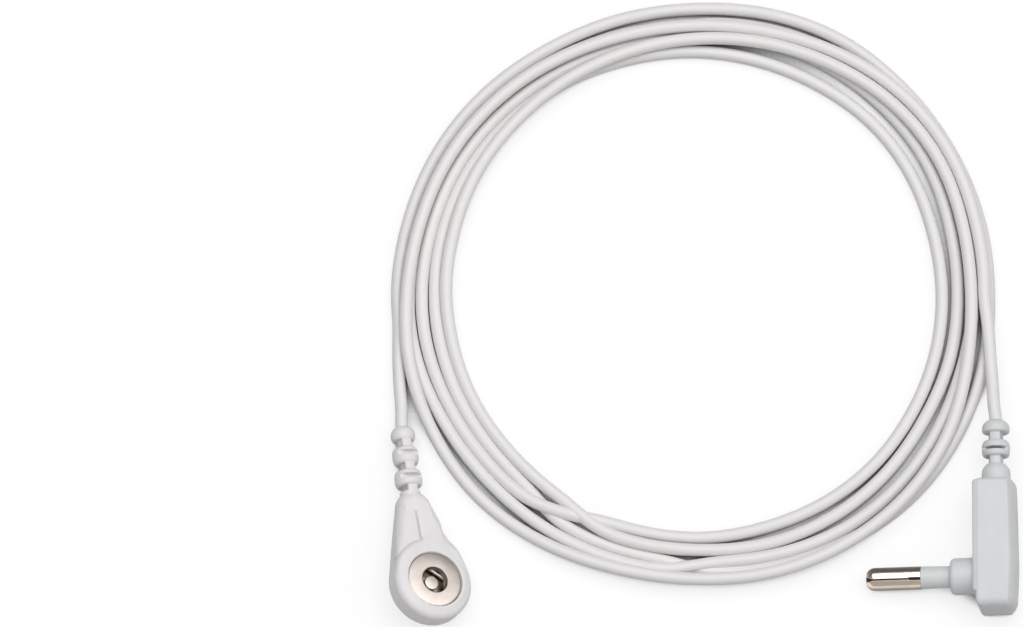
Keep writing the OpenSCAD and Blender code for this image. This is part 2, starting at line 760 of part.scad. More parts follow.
module plug_inner_mould() {
    color(mould_grey) plug_place() difference() {
        plug_mould_form(0);
        turned_out([[0, lead_d / 2 - pin_peen_t - fit], [pin_peen_r + fit, lead_d / 2 - pin_peen_t - fit],
            [pin_peen_r + fit, lead_d / 2], [neck_r + fit, lead_d / 2], [neck_r + fit, sleeve_in_x],
            [sleeve_root_d / 2 + fit, sleeve_in_x], [sleeve_root_d / 2 + fit, plug_w], [0, plug_w]]);
        pin_tag_place() translate([0, 0, -fit]) linear_extrude(tag_t + 2 * fit) pin_tag_outline(fit);
        translate([0, plug_joint_y, 0]) joint_room(plug_mould_end - plug_joint_y);
    }
}

// One rolled piece: a peened end inside, a neck for the sleeve, and the bare pin with
// a rounded tip. Both the neck and the bare pin are hollow.
module contact_pin() {
    pin_r = pin_d / 2;
    tip_start = pin_reach_x - pin_tip_l;
    outer_tip = [for (a = [0 : arc_step : 90])
        [tip_flat_r + (pin_r - tip_flat_r) * cos(a), tip_start + pin_tip_l * sin(a)]];
    inner_tip = [for (a = [90 : -arc_step : 0])
        [tip_flat_r + (pin_r - pin_wall_t - tip_flat_r) * cos(a),
        tip_start + (pin_tip_l - pin_wall_t) * sin(a)]];
    outside = [[0, lead_d / 2 - pin_peen_t], [pin_peen_r, lead_d / 2 - pin_peen_t],
        [pin_peen_r, lead_d / 2], [pin_stub_r, lead_d / 2], [pin_stub_r, pin_tag_x],
        [neck_r, pin_tag_x], [neck_r, pin_shoulder_x], [pin_r, pin_shoulder_x]];
    inside = [[pin_r - pin_wall_t, pin_shoulder_x + pin_wall_t],
        [neck_r - pin_wall_t, pin_shoulder_x + pin_wall_t],
        [neck_r - pin_wall_t, pin_tag_x + 2 * pin_wall_t], [0, pin_tag_x + 2 * pin_wall_t]];
    color(nickel) plug_place() difference() {
        turned_out(concat(outside, outer_tip, [[0, pin_reach_x], [0, pin_reach_x - pin_wall_t]],
            inner_tip, inside));
        translate([0, pin_y, 0]) rotate([0, -90, 0]) rotate([0, 0, -seam_turn]) pin_seam();
    }
}

// The seam between the rolled edges, its wide notch by the sleeve and its flare at the tip.
module pin_seam() {
    seam_start = pin_shoulder_x + pin_wall_t + fit;
    translate([0, -seam_w / 2, seam_start]) cube([pin_d, seam_w, pin_l]);
    translate([0, -seam_notch_w / 2, seam_start]) cube([pin_d, seam_notch_w, seam_notch_l]);
    translate([0, 0, pin_reach_x]) rotate([0, 90, 0]) linear_extrude(pin_d)
        polygon([[-cut, -seam_flare_w / 2], [-cut, seam_flare_w / 2], [seam_flare_l, 0]]);
}

// Straight inside the housing, and slightly wider towards the bare pin.
module pin_sleeve() {
    color(plug_white) plug_place() turned_out([[neck_r + fit, sleeve_in_x + fit],
        [sleeve_root_d / 2, sleeve_in_x + fit], [sleeve_root_d / 2, pin_face_x + collar_l],
        [sleeve_d / 2, pin_shoulder_x], [neck_r + fit, pin_shoulder_x]]);
}

module plug_resistor() {
    color(ceramic_blue) plug_joint_place() resistor_body();
}

module plug_resistor_caps() {
    color(tin) plug_joint_place() resistor_caps();
}

module plug_resistor_leads() {
    color(tin) plug_joint_place() resistor_leads();
}

module plug_crimp() {
    color(tin) plug_joint_place() crimp();
}

module plug_conductor() {
    color(copper) plug_joint_place() conductor();
}

module plug_cord_clamp() {
    color(tin) plug_joint_place() cord_clamp();
}

snap_housing();
snap_strain_relief();
snap_inner_mould();
socket_ring();
socket_cup();
socket_spring_left();
socket_spring_right();
socket_rivet();
snap_solder_tag();
snap_resistor();
snap_resistor_caps();
snap_resistor_leads();
snap_crimp();
snap_conductor();
snap_cord_clamp();
snap_lead();
cord_coil();
plug_lead();
plug_cord_clamp();
plug_conductor();
plug_crimp();
plug_resistor_leads();
plug_resistor_caps();
plug_resistor();
pin_solder_tag();
plug_inner_mould();
contact_pin();
pin_sleeve();
plug_strain_relief();
plug_housing();
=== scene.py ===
import json
import math

import bpy
import numpy as np
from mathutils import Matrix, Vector


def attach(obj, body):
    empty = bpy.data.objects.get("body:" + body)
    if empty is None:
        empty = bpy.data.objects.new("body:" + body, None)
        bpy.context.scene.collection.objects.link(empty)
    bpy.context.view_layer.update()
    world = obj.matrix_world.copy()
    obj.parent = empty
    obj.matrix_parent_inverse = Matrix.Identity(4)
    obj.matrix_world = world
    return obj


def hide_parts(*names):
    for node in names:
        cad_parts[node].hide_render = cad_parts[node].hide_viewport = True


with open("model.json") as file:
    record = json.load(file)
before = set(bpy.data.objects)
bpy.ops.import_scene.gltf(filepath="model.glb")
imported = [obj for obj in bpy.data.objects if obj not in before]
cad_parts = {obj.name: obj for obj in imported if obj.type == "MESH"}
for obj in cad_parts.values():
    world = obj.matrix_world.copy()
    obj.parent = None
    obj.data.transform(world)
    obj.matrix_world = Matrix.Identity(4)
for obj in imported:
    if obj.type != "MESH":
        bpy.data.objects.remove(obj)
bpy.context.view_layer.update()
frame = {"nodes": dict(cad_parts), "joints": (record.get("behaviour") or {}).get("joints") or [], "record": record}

mm = 0.001
scene = bpy.context.scene


view = {"centre": (-33.4, 39.0, 0), "elevation": 74, "distance": 4.0, "width": 177.9}


# looks down at the table from the side of -Y, from so far that the picture is nearly parallel
def addCamera():
    lift = math.radians(view["elevation"])
    away = np.array([0, -math.cos(lift), math.sin(lift)])
    camera = bpy.data.objects.new("camera", bpy.data.cameras.new("camera"))
    scene.collection.objects.link(camera)
    camera.location = np.array(view["centre"]) * mm + view["distance"] * away
    camera.rotation_euler = (math.pi / 2 - lift, 0, 0)
    camera.data.lens = camera.data.sensor_width * view["distance"] / (view["width"] * mm)
    scene.camera = camera
    scene.view_settings.view_transform = "Standard"


def unit(v):
    v = np.asarray(v, float)
    return v / np.linalg.norm(v, axis=-1, keepdims=True)


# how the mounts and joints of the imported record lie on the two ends, in mm and degrees
ends = {"wireTurn": 50, "socketUp": 1.45, "pinOut": 17.1, "pinAt": 6.35}


# each end's middle in mm and its three axes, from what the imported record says
def endFrames():
    mounts = {m["name"]: m for m in frame["record"]["mounts"]}
    spread = {j["name"]: j for j in frame["joints"]}["right_wire_spread"]["axis"]
    up, wire = unit(mounts["snap_socket"]["axis"]), unit(spread)
    back = -math.radians(ends["wireTurn"])  # the spring wires are turned about the hole
    across = wire * math.cos(back) + np.cross(up, wire) * math.sin(back)
    headAt = np.array(mounts["snap_socket"]["pos_m"]) / mm - ends["socketUp"] * up
    out, along = unit(mounts["contact_pin"]["axis"]), np.array([0, 1, 0])
    pinAt = np.array(mounts["contact_pin"]["pos_m"]) / mm
    plugAt = pinAt - ends["pinOut"] * out - ends["pinAt"] * along
    return ((headAt, np.array([across, np.cross(up, across), up])),
            (plugAt, np.array([-out, along, np.cross(-out, along)])))


headFrame, plugFrame = endFrames()


# points in an end's own axes, in mm, to points on the table, in mm
def onTable(points, place):
    return place[0] + np.asarray(points, float) @ place[1]


# Joins a grid of points (rows, columns, 3) into faces. Columns close around. Rows close
# too when ring is set, and otherwise each end is a fan around the mean of its last row.
# The sign of the enclosed volume says which way the faces have to point.
def shell(grid, ring=False):
    rows, columns = grid.shape[:2]
    points = grid.reshape(-1, 3)
    row = np.arange(rows if ring else rows - 1)[:, None] * columns
    nextRow = (row + columns) % (rows * columns)
    column = np.arange(columns)[None, :]
    nextColumn = (column + 1) % columns
    quads = np.stack([row + column, row + nextColumn,
                      nextRow + nextColumn, nextRow + column], -1).reshape(-1, 4)
    fans = np.zeros((0, 3), int)
    if not ring:
        count, column, nextColumn = len(points), column[0], nextColumn[0]
        points = np.vstack([points, grid[0].mean(0), grid[-1].mean(0)])
        last = (rows - 1) * columns
        fans = np.vstack([
            np.stack([np.full(columns, count), nextColumn, column], -1),
            np.stack([np.full(columns, count + 1), last + column, last + nextColumn], -1)])
    corners = np.vstack([quads[:, [0, 1, 2]], quads[:, [0, 2, 3]], fans])
    a, b, c = (points[corners[:, k]] - points.mean(0) for k in range(3))
    if (a * np.cross(b, c)).sum() < 0:
        quads, fans = quads[:, ::-1], fans[:, ::-1]
    return points, quads, fans


# one smooth object from shells given in mm on the table
def piece(name, shells, look, body="root", replaced=(), marks=None):
    points = np.vstack([s[0] for s in shells]) * mm
    faces, start = [], 0
    for shellPoints, quads, fans in shells:
        faces += (quads + start).tolist() + (fans + start).tolist()
        start += len(shellPoints)
    mesh = bpy.data.meshes.new(name)
    mesh.from_pydata(points.tolist(), [], faces)
    mesh.polygons.foreach_set("use_smooth", np.ones(len(mesh.polygons), bool))
    for key, values in (marks or {}).items():
        flat = values.ndim == 1
        layer = mesh.attributes.new(key, "FLOAT" if flat else "FLOAT_VECTOR", "POINT")
        layer.data.foreach_set("value" if flat else "vector", values.astype(np.float32).ravel())
    mesh.materials.append(look)
    mesh.update()
    made = bpy.data.objects.new(name, mesh)
    scene.collection.objects.link(made)
    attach(made, body)
    if replaced:
        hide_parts(*replaced)
    return made


# 0 below low, 1 above high, and an even S between them
def ease(low, high, x):
    t = np.clip((x - low) / (high - low), 0, 1)
    return t * t * (3 - 2 * t)


# A profile of [radius, height] points with its corners rounded: each corner gives way to a
# quadratic curve that starts and ends the given distance before and after it.
def rounded(corners, steps):
    spots = np.array([c[:2] for c in corners], float)
    cuts = np.array([c[2] if len(c) > 2 else 0 for c in corners], float)
    into, outof = unit(spots - np.roll(spots, 1, 0)), unit(np.roll(spots, -1, 0) - spots)
    t = np.linspace(0, 1, steps)[:, None]
    bends = []
    for spot, cut, a, b in zip(spots, cuts, into, outof):
        bend = (1 - t)**2 * (spot - cut * a) + 2 * t * (1 - t) * spot + t**2 * (spot + cut * b)
        bends.append(bend if cut else spot[None])
    return np.vstack(bends)


# turns a profile of [radius, height] about z
def turned(profile, columns):
    turn = np.arange(columns) * 2 * math.pi / columns
    radius, height = profile[:, :1], np.repeat(profile[:, 1:2], columns, 1)
    return np.stack([radius * np.cos(turn), radius * np.sin(turn), height], -1)


# lays a turned grid along the pin, where height counts outwards from the plug
def alongPin(grid):
    return np.stack([-grid[..., 2], grid[..., 0], grid[..., 1]], -1) + [0, ends["pinAt"], 0]


cord = {
    "diameter": 2.2, "length": 1.73, "sides": 20, "step": 1.0,
    "snapStart": (0, 12.5, -0.35), "snapKink": (0, 16.3, -0.35), "snapRelief": 13.0, "snapBend": 5,
    "plugStart": (0, 15.5, 0), "plugMouth": (0, 34.2, 0), "snapPoints": 6, "plugPoints": 8,
    "snapRoute": [(-52.5, 21.4, 1.8), (-52.8, 25.4, 1.4), (-53, 30.4, 1.2), (-53, 36.4, 1.1)],
    "plugRoute": [(50.3, 21.4, 4.1), (50.1, 25.4, 3.5), (49.8, 29.4, 3.1), (49.4, 35.4, 3.2)],
}
# "turns" is the radius of the cord's middle every 15 degrees, clockwise from the left, turn
# by turn. The last two turns lie on top of the others.
coil = {
    "middle": (-1.65, 42.3), "lowTurns": 4, "spacing": 2.12, "ride": 2.1, "pull": 0.2867,
    "parts": 5, "pushes": 12, "settles": 8, "crest": 5, "softHeight": 3, "softRadius": 1.5,
    "turns": [
        [51.4, 50.7, 51.1, 51.1, 51.0, 51.3, 51.6, 52.4, 52.7, 51.9, 51.4, 51.4,
         51.2, 51.9, 52.3, 52.6, 51.8, 50.6, 49.2, 47.9, 46.5, 45.4, 45.2, 44.9],
        [45.0, 45.3, 45.3, 44.9, 44.4, 44.0, 43.9, 43.7, 43.6, 43.8, 43.5, 43.0,
         43.1, 43.3, 43.5, 43.9, 44.0, 43.9, 44.3, 45.0, 46.0, 46.5, 46.9, 47.4],
        [47.4, 47.2, 46.9, 46.6, 46.4, 46.8, 48.2, 49.6, 50.0, 50.0, 49.6, 49.2,
         48.8, 48.4, 48.9, 49.6, 49.8, 49.6, 49.0, 48.9, 48.9, 49.0, 49.2, 49.7],
        [49.8, 49.5, 49.5, 49.3, 48.8, 48.2, 47.6, 47.4, 47.4, 47.3, 47.0, 46.1,
         45.8, 46.0, 45.9, 46.5, 46.9, 46.9, 46.5, 46.2, 45.2, 43.6, 43.1, 43.1],
        [43.2, 43.2, 43.7, 44.0, 44.6, 45.3, 46.2, 47.1, 48.0, 48.9, 49.1, 48.3,
         48.1, 49.0, 50.8, 51.8, 52.1, 52.0, 51.4, 51.3, 52.0, 52.5, 51.9, 51.1],
        [49.9, 49.3, 49.3, 49.1, 48.7, 48.3, 48.6, 49.2, 50.3, 51.2, 51.3, 50.6, 50.4]],
}


# the cubic between two values a and b whose slopes there are m and n
def cubic(a, b, m, n, t):
    return ((2 * t**3 - 3 * t**2 + 1) * a + (t**3 - 2 * t**2 + t) * m
            + (3 * t**2 - 2 * t**3) * b + (t**3 - t**2) * n)


# evenly spaced values between given ones, through each of them
def through(values, parts):
    slope = np.gradient(values)
    t = np.arange(parts)[None, :] / parts
    inner = cubic(values[:-1, None], values[1:, None], slope[:-1, None], slope[1:, None], t)
    return np.append(inner.ravel(), values[-1])


# a smooth curve through points at any distance, read off at even steps along it
def smoothPath(points, step):
    along = np.append(0, np.cumsum(np.linalg.norm(np.diff(points, axis=0), axis=1)))
    slope = np.gradient(points, along, axis=0)
    where = np.linspace(0, along[-1], int(along[-1] / step) + 1)
    i = np.clip(np.searchsorted(along, where, side="right") - 1, 0, len(along) - 2)
    span = (along[i + 1] - along[i])[:, None]
    t = (where - along[i])[:, None] / span
    return cubic(points[i], points[i + 1], slope[i] * span, slope[i + 1] * span, t)


# a running mean with a bell of weights, with the ends held
def softened(values, width):
    reach = int(3 * width)
    bell = np.exp(-0.5 * (np.arange(-reach, reach + 1) / width)**2)
    return np.convolve(np.pad(values, reach, mode="edge"), bell / bell.sum(), mode="valid")


# The loose coil. At every angle the lower turns are pushed apart to one spacing, and each
# later turn lies on what it crosses: its middle is at height z + sqrt(d^2 - gap^2) over a
# turn that is gap away. A raised turn is pulled towards the viewer by its share of height.
def windCoil():
    low, parts = cord["diameter"] / 2, coil["parts"]
    radius = through(np.concatenate(coil["turns"]), parts)
    count, turns, perTurn = len(radius), len(coil["turns"]), len(coil["turns"][0]) * parts
    seen = np.full(turns * perTurn, np.inf)
    seen[:count] = radius
    seen = seen.reshape(turns, perTurn)
    for _ in range(coil["pushes"]):
        for i in range(coil["lowTurns"]):
            for j in range(i):
                gap = seen[i] - seen[j]
                push = np.clip(coil["spacing"] - np.abs(gap), 0, None) / 4 * np.sign(gap)
                seen[i] += push
                seen[j] -= push
    angle = math.pi - np.arange(perTurn) * 2 * math.pi / perTurn
    height, spread = np.full(seen.shape, low), seen.copy()
    for k in range(1, turns):
        for _ in range(coil["settles"]):
            spread[k] = np.hypot(seen[k] * np.cos(angle),
                                 seen[k] * np.sin(angle) - coil["pull"] * (height[k] - low))
            room = coil["ride"]**2 - (spread[k] - spread[:k])**2
            over = np.where(room > 0, height[:k] + np.sqrt(np.clip(room, 0, None)), low)
            height[k] = 0.5 * height[k] + 0.5 * over.max(0)
    rise = np.pad(height.ravel()[:count], coil["crest"] // 2, mode="edge")
    rise = np.lib.stride_tricks.sliding_window_view(rise, coil["crest"]).max(1)
    rise = softened(rise, coil["softHeight"])
    reach = softened(seen.ravel()[:count], coil["softRadius"])
    turn = math.pi - np.arange(count) * 2 * math.pi / perTurn
    x = coil["middle"][0] + reach * np.cos(turn)
    y = coil["middle"][1] + reach * np.sin(turn) - coil["pull"] * (rise - low)
    return np.stack([x, y, rise], -1)


# points along the snap head's strain relief, which is straight before its kink and then
# bends away from the tail
def alongSnapRelief(s):
    bend = math.radians(cord["snapBend"])
    before, after = np.minimum(s, 0)[:, None], np.maximum(s, 0)[:, None]
    slant = np.array([math.sin(bend), math.cos(bend), 0])
    return np.array(cord["snapKink"]) + before * [0, 1, 0] + after * slant


# rings of points around a path, each with one direction level and one upright
def tube(path, radius, sides):
    ahead = unit(np.gradient(path, axis=0))
    level = unit(np.cross(ahead, [0, 0, 1]))
    upright = np.cross(level, ahead)
    turn = np.arange(sides)[None, :, None] * 2 * math.pi / sides
    return path[:, None] + radius * (np.cos(turn) * level[:, None]
                                     + np.sin(turn) * upright[:, None])


# the cord's middle from the snap head to the plug, and the point where it leaves the head
def cordPath():
    inHead = alongSnapRelief(np.linspace(0, cord["snapRelief"], cord["snapPoints"]))
    inHead = onTable(np.vstack([cord["snapStart"], inHead]), headFrame)
    inPlug = np.linspace(cord["plugMouth"], cord["plugStart"], cord["plugPoints"])
    inPlug = onTable(inPlug, plugFrame)
    points = np.vstack([inHead, cord["snapRoute"], windCoil(), cord["plugRoute"][::-1], inPlug])
    return smoothPath(points, cord["step"]), inHead[-1]


# A value in a material. Arithmetic on it adds Math nodes.
class Value:
    def __init__(self, recipe, socket):
        self.recipe, self.socket = recipe, socket

    def maths(self, operation, first, second):
        return self.recipe.node("Math", {"operation": operation}, {0: first, 1: second})

    def __add__(self, other):
        return self.maths("ADD", self, other)

    def __radd__(self, other):
        return self.maths("ADD", other, self)

    def __sub__(self, other):
        return self.maths("SUBTRACT", self, other)

    def __rsub__(self, other):
        return self.maths("SUBTRACT", other, self)

    def __mul__(self, other):
        return self.maths("MULTIPLY", self, other)

    def __rmul__(self, other):
        return self.maths("MULTIPLY", other, self)


# A material, or the world, under construction.
class Recipe:
    def __init__(self, owner):
        owner.use_nodes = True
        self.owner, self.tree = owner, owner.node_tree
        self.tree.nodes.clear()

    # any node: its type, its settings, the values or links of its sockets, and which output
    def node(self, kind, settings=None, sockets=None, output=0):
        made = self.tree.nodes.new("ShaderNode" + kind)
        for key, value in (settings or {}).items():
            setattr(made, key, value)
        for key, value in (sockets or {}).items():
            if isinstance(value, Value):
                self.tree.links.new(value.socket, made.inputs[key])
            else:
                made.inputs[key].default_value = value
        return Value(self, made.outputs[output] if made.outputs else None)

    # the piece's own measure in mm: an attribute, or Object coordinates on a solid
    def place(self, attribute):
        if attribute:
            return self.node("Attribute", {"attribute_name": attribute}, output="Vector")
        return self.scaled(self.node("TexCoord", output="Object"), (1000, 1000, 1000))

    def scaled(self, vector, factors):
        return self.node("Mapping", None, {"Vector": vector, "Scale": factors})

    def noise(self, vector, scale, detail=3.0):
        return self.node("TexNoise", None, {"Vector": vector, "Scale": scale, "Detail": detail,
                                            "Roughness": 0.55})

    # start below low, end above high, and an even S between them
    def smooth(self, low, high, x, start=0.0, end=1.0):
        return self.node("MapRange", {"interpolation_type": "SMOOTHSTEP"},
                         {"Value": x, "From Min": low, "From Max": high,
                          "To Min": start, "To Max": end})

    def mark(self, attribute):
        return self.node("Attribute", {"attribute_name": attribute}, output="Fac")

    def vectorMaths(self, operation, *vectors):
        output = "Vector" if operation == "MULTIPLY" else "Value"
        return self.node("VectorMath", {"operation": operation}, dict(enumerate(vectors)), output)

    def mix(self, share, a, b):
        a, b = (x if isinstance(x, Value) else (*x, 1) for x in (a, b))
        return self.node("Mix", {"data_type": "RGBA"}, {0: share, 6: a, 7: b}, 2)

    def bump(self, height, depth):
        return self.node("Bump", None, {"Height": height, "Distance": depth * mm})

    # ends a material: its varying colour, roughness and normal, and the values that are fixed
    def finish(self, colour, roughness, normal, **fixed):
        sockets = {"Base Color": colour, "Roughness": roughness, "Normal": normal, **fixed}
        surface = self.node("BsdfPrincipled", None, sockets)
        self.node("OutputMaterial", None, {"Surface": surface})
        return self.owner


def material(name):
    return Recipe(bpy.data.materials.new(name))


def shade(colour, factor):
    return tuple(min(c * factor, 1) for c in colour)


vinyl = {"colour": (0.745, 0.732, 0.735), "dark": 0.955, "light": 1.04, "roughness": 0.4,
         "vary": 0.16, "relief": 0.036}


# soft vinyl of the cord: very fine lines drawn along it, and a faint cloudiness
def jacketMaterial():
    m = material("jacket")
    skin = m.place("skin")
    lines = m.noise(m.scaled(skin, (2.6, 2.6, 0.09)), 1.0, 4.0)
    cloud = m.noise(m.scaled(skin, (0.2, 0.2, 0.06)), 1.0, 2.0)
    grain = m.noise(m.scaled(skin, (9, 9, 5)), 1.0, 2.0)
    colour = m.mix(cloud * 0.5 + lines * 0.5, shade(vinyl["colour"], vinyl["dark"]),
                   shade(vinyl["colour"], vinyl["light"]))
    bump = m.bump(lines * 0.7 + grain * 0.3, vinyl["relief"])
    return m.finish(colour, vinyl["roughness"] + (lines - 0.5) * vinyl["vary"], bump, IOR=1.5)


# the third value is what painted shade in grooves leaves of the colour
moulded = {"dark": 0.97, "light": 1.025, "paintedShade": 0.3, "vary": 0.14, "grain": 0.02}


# moulded plastic: faint flow marks along the piece, a fine matt grain, and painted shade that
# darkens its grooves and notches where an attribute says so
def mouldedMaterial(name, colour, roughness, attribute="own"):
    m = material(name)
    own = m.place(attribute)
    flow = m.noise(m.scaled(own, (0.35, 0.12, 0.35)), 1.0, 3.0)
    fine = m.noise(own, 7.0, 3.0)
    tone = m.mix(m.smooth(0.3, 0.7, flow * 0.7 + fine * 0.3),
                 shade(colour, moulded["dark"]), shade(colour, moulded["light"]))
    # painted shade in grooves and notches
    tone = m.mix(m.mark("paintedShade"), tone, shade(colour, moulded["paintedShade"]))
    rough = roughness + (fine - 0.5) * moulded["vary"]
    return m.finish(tone, rough, m.bump(fine, moulded["grain"]), IOR=1.48)


lineDepth = 0.004  # of turned or drawn lines in metal, in mm


# metal on an inner solid: a cloudy tone, with fine lines at "lines" per mm along each axis
def metalMaterial(name, colour, roughness, lines=(0.15, 0.15, 6), dullAndShade=0.85):
    m = material(name)
    own = m.place(None)
    drawn = m.noise(m.scaled(own, lines), 1.0, 3.0)
    cloud = m.noise(own, 0.55, 3.0)
    tone = m.mix(m.smooth(0.35, 0.7, cloud), shade(colour, dullAndShade), colour)
    rough = roughness + (drawn - 0.5) * roughness * 0.9 + (cloud - 0.5) * 0.06
    return m.finish(tone, rough, m.bump(drawn, lineDepth), Metallic=1.0)


# the near black of painted shade on nickel
paintedShadeColour = (0.05, 0.042, 0.036)


# Nickel on a turned piece, with lines around it when ringed is set and else along it. "own"
# is (around, around, along), so the length of its first two is the radius. A second attribute
# is the share of painted shade, which mixes in a near black and makes the metal rougher.
def nickelMaterial(name, ringed, tone, roughness):
    m = material(name)
    own = m.place("own")
    if ringed:
        radius = m.vectorMaths("LENGTH", m.vectorMaths("MULTIPLY", own, (1, 1, 0)))
        lines = m.noise(m.node("CombineXYZ", None, {0: radius * 9.0}), 1.0)
    else:
        lines = m.noise(m.scaled(own, (5, 5, 0.25)), 1.0)
    colour = m.mix(m.smooth(0.3, 0.7, m.noise(own, 0.5)), shade(tone, 0.93), shade(tone, 1.02))
    # painted shade: a share of near black, read from an attribute
    seam = m.mark("seam")
    rough = roughness + (lines - 0.5) * 0.1 + seam * 0.3
    return m.finish(m.mix(seam, colour, paintedShadeColour), rough, m.bump(lines, lineDepth), Metallic=1.0)


# each ring is its place along the body in mm and its paint
resistor = {
    "lacquer": (0.34, 0.52, 0.62), "ringHalf": 0.15, "edge": 0.03,
    "rings": [(0.75, (0.25, 0.10, 0.04)), (1.35, (0.01, 0.01, 0.01)),
              (1.95, (0.06, 0.3, 0.08)), (2.75, (0.55, 0.36, 0.08))],
}


# A small resistor: pale blue lacquer with rings of paint. The place along it is the dot
# product of the way from its start and its own direction.
def resistorMaterial(name, start, direction):
    m = material(name)
    own = m.place(None)
    along = m.vectorMaths("DOT_PRODUCT", own, tuple(direction)) - float(np.dot(start, direction))
    colour = m.mix(m.noise(own, 2.0), shade(resistor["lacquer"], 0.92), resistor["lacquer"])
    half, edge = resistor["ringHalf"], resistor["edge"]
    for place, paint in resistor["rings"]:
        away = m.node("Math", {"operation": "ABSOLUTE"}, {0: along - place})
        colour = m.mix(m.smooth(half - edge, half + edge, away, 1.0, 0.0), colour, paint)
    return m.finish(colour, 0.25, m.bump(m.noise(own, 3.0), 0.01), IOR=1.5)


# One closed tube for the whole cord, from inside the snap head to inside the plug. Its
# attribute "skin" is the surface laid out straight, in mm: around the middle and along it.
def addCord(jacket):
    path, mouth = cordPath()
    sides, radius = cord["sides"], cord["diameter"] / 2
    along = np.append(0, np.cumsum(np.linalg.norm(np.diff(path, axis=0), axis=1)))
    turn = np.arange(sides) * 2 * math.pi / sides
    skin = np.stack(np.broadcast_arrays(radius * np.cos(turn), radius * np.sin(turn),
                                        along[:, None]), -1)
    skin = np.vstack([skin.reshape(-1, 3), [[0, 0, 0], [0, 0, along[-1]]]])
    made = piece("cord", [shell(tube(path, radius, sides))], jacket,
                 replaced=("cord_coil", "snap_lead", "plug_lead"), marks={"skin": skin})
    tuple(mouth * mm)
    [tuple(p) for p in path * mm]
    print(f"cord: {along[-1] / 1000:.3f} m along {len(path)} rings")


# 1 between two places, 0 outside, with soft sides
def between(low, high, x, soft=0.12):
    return ease(low - soft, low + soft, x) * (1 - ease(high - soft, high + soft, x))


reliefMesh = {"step": 0.06, "columns": 96, "slope": 0.07, "lip": 0.02}


# A relief is a row of rings on an axis. "profile" is its plain radius at places along it.
# A side notch leaves a bridge at the front and back, a front slot leaves one at each side:
# there the radius is bridge / |cos| or bridge / |sin| of the angle, or the core if that is
# more. "dark" is how much painted shade darkens the cut. A narrow lip and the bore close it inside.
def reliefGrid(shape, axis, across):
    places = np.arange(shape["from"], shape["to"], reliefMesh["step"])
    outer = np.interp(places, *np.array(shape["profile"]).T)
    columns, slope = reliefMesh["columns"], reliefMesh["slope"]
    turn = np.arange(columns) * 2 * math.pi / columns
    radius = np.repeat(outer[:, None], columns, 1)
    paintedShade = np.zeros((len(places) + 3, columns))
    for cuts, trig in (("sideNotches", np.cos(turn)), ("frontSlots", np.sin(turn))):
        core, bridge, dark, spans = shape[cuts]
        left = np.maximum(core, np.minimum(radius, bridge / np.maximum(np.abs(trig), 1e-6)))
        for low, high in spans:
            share = between(low, high, places, slope)[:, None]
            # painted shade in the cut
            paintedShade[:-3] += dark * ease(0.15, 0.9, (radius - left) * share)
            radius = radius + (left - radius) * share
    lip = reliefMesh["lip"]
    inner = np.array([[shape["to"], lip], [shape["to"] - 4 * lip, 0], [shape["from"], 0]])
    places = np.append(places, inner[:, 0])
    radius = np.vstack([radius, np.repeat(shape["bore"] + inner[:, 1:], columns, 1)])
    outward = (np.cos(turn)[None, :, None] * across(places)[:, None]
               + np.sin(turn)[None, :, None] * np.array([0, 0, 1]))
    return axis(places)[:, None] + radius[..., None] * outward, paintedShade.ravel()


snapRelief = {
    "from": -2.05, "to": 13.0, "bore": 1.12,
    "profile": [(-2.05, 1.35), (-1.3, 1.35), (-1.1, 1.7), (0.9, 1.8), (1.9, 1.9), (2.05, 2.15),
                (2.3, 2.32), (2.9, 2.42), (3.6, 2.4), (4.2, 2.33), (4.6, 2.2), (4.85, 1.85),
                (5.9, 1.8), (6.15, 1.9), (6.5, 2.14), (7.1, 2.27), (8.0, 2.27), (8.6, 2.2),
                (9.0, 2.0), (9.2, 1.75), (10.3, 1.7), (10.55, 1.82), (10.85, 2.02), (11.3, 2.12),
                (11.9, 2.08), (12.4, 1.9), (12.75, 1.62), (12.93, 1.35), (13.0, 1.16)],
    "sideNotches": (1.22, 0.9, 0.72, [(0.9, 1.95), (4.7, 6.1), (9.0, 10.5)]),
    "frontSlots": (1.35, 1.35, 0.1, [(3.1, 3.85), (7.45, 8.25)]),
}
plugRelief = {
    "from": -5.77, "to": 11.2, "bore": 1.12,
    "profile": [(-5.77, 2.2), (-5.0, 2.2), (-4.9, 1.6), (-0.6, 1.6), (-0.5, 2.5), (0.0, 2.52),
                (0.8, 2.52), (1.6, 2.5), (2.2, 2.4), (2.6, 2.2), (2.95, 1.9), (3.3, 1.65),
                (4.5, 1.7), (4.65, 2.15), (4.9, 2.33), (5.4, 2.42), (6.2, 2.44), (6.7, 2.4),
                (7.1, 2.25), (7.5, 1.9), (8.8, 1.75), (8.92, 2.2), (9.15, 2.38), (9.7, 2.4),
                (10.25, 2.28), (10.65, 2.02), (10.98, 1.62), (11.13, 1.4), (11.2, 1.18)],
    "sideNotches": (1.25, 0.9, 0.65, [(3.25, 4.65), (7.45, 8.85)]),
    "frontSlots": (1.3, 1.1, 0.8, [(5.65, 6.08)]),
}


# the rings turn from straight to slanted over a short way around the kink
def addSnapRelief(plastic):
    def across(s):
        turn = math.radians(cord["snapBend"]) * ease(-0.4, 0.4, s)
        return np.stack([np.cos(turn), -np.sin(turn), 0 * s], -1)

    grid, paintedShade = reliefGrid(snapRelief, alongSnapRelief, across)
    return piece("snapRelief", [shell(onTable(grid, headFrame), ring=True)], plastic,
                 replaced=("snap_strain_relief",),
                 marks={"own": grid.reshape(-1, 3), "paintedShade": paintedShade})


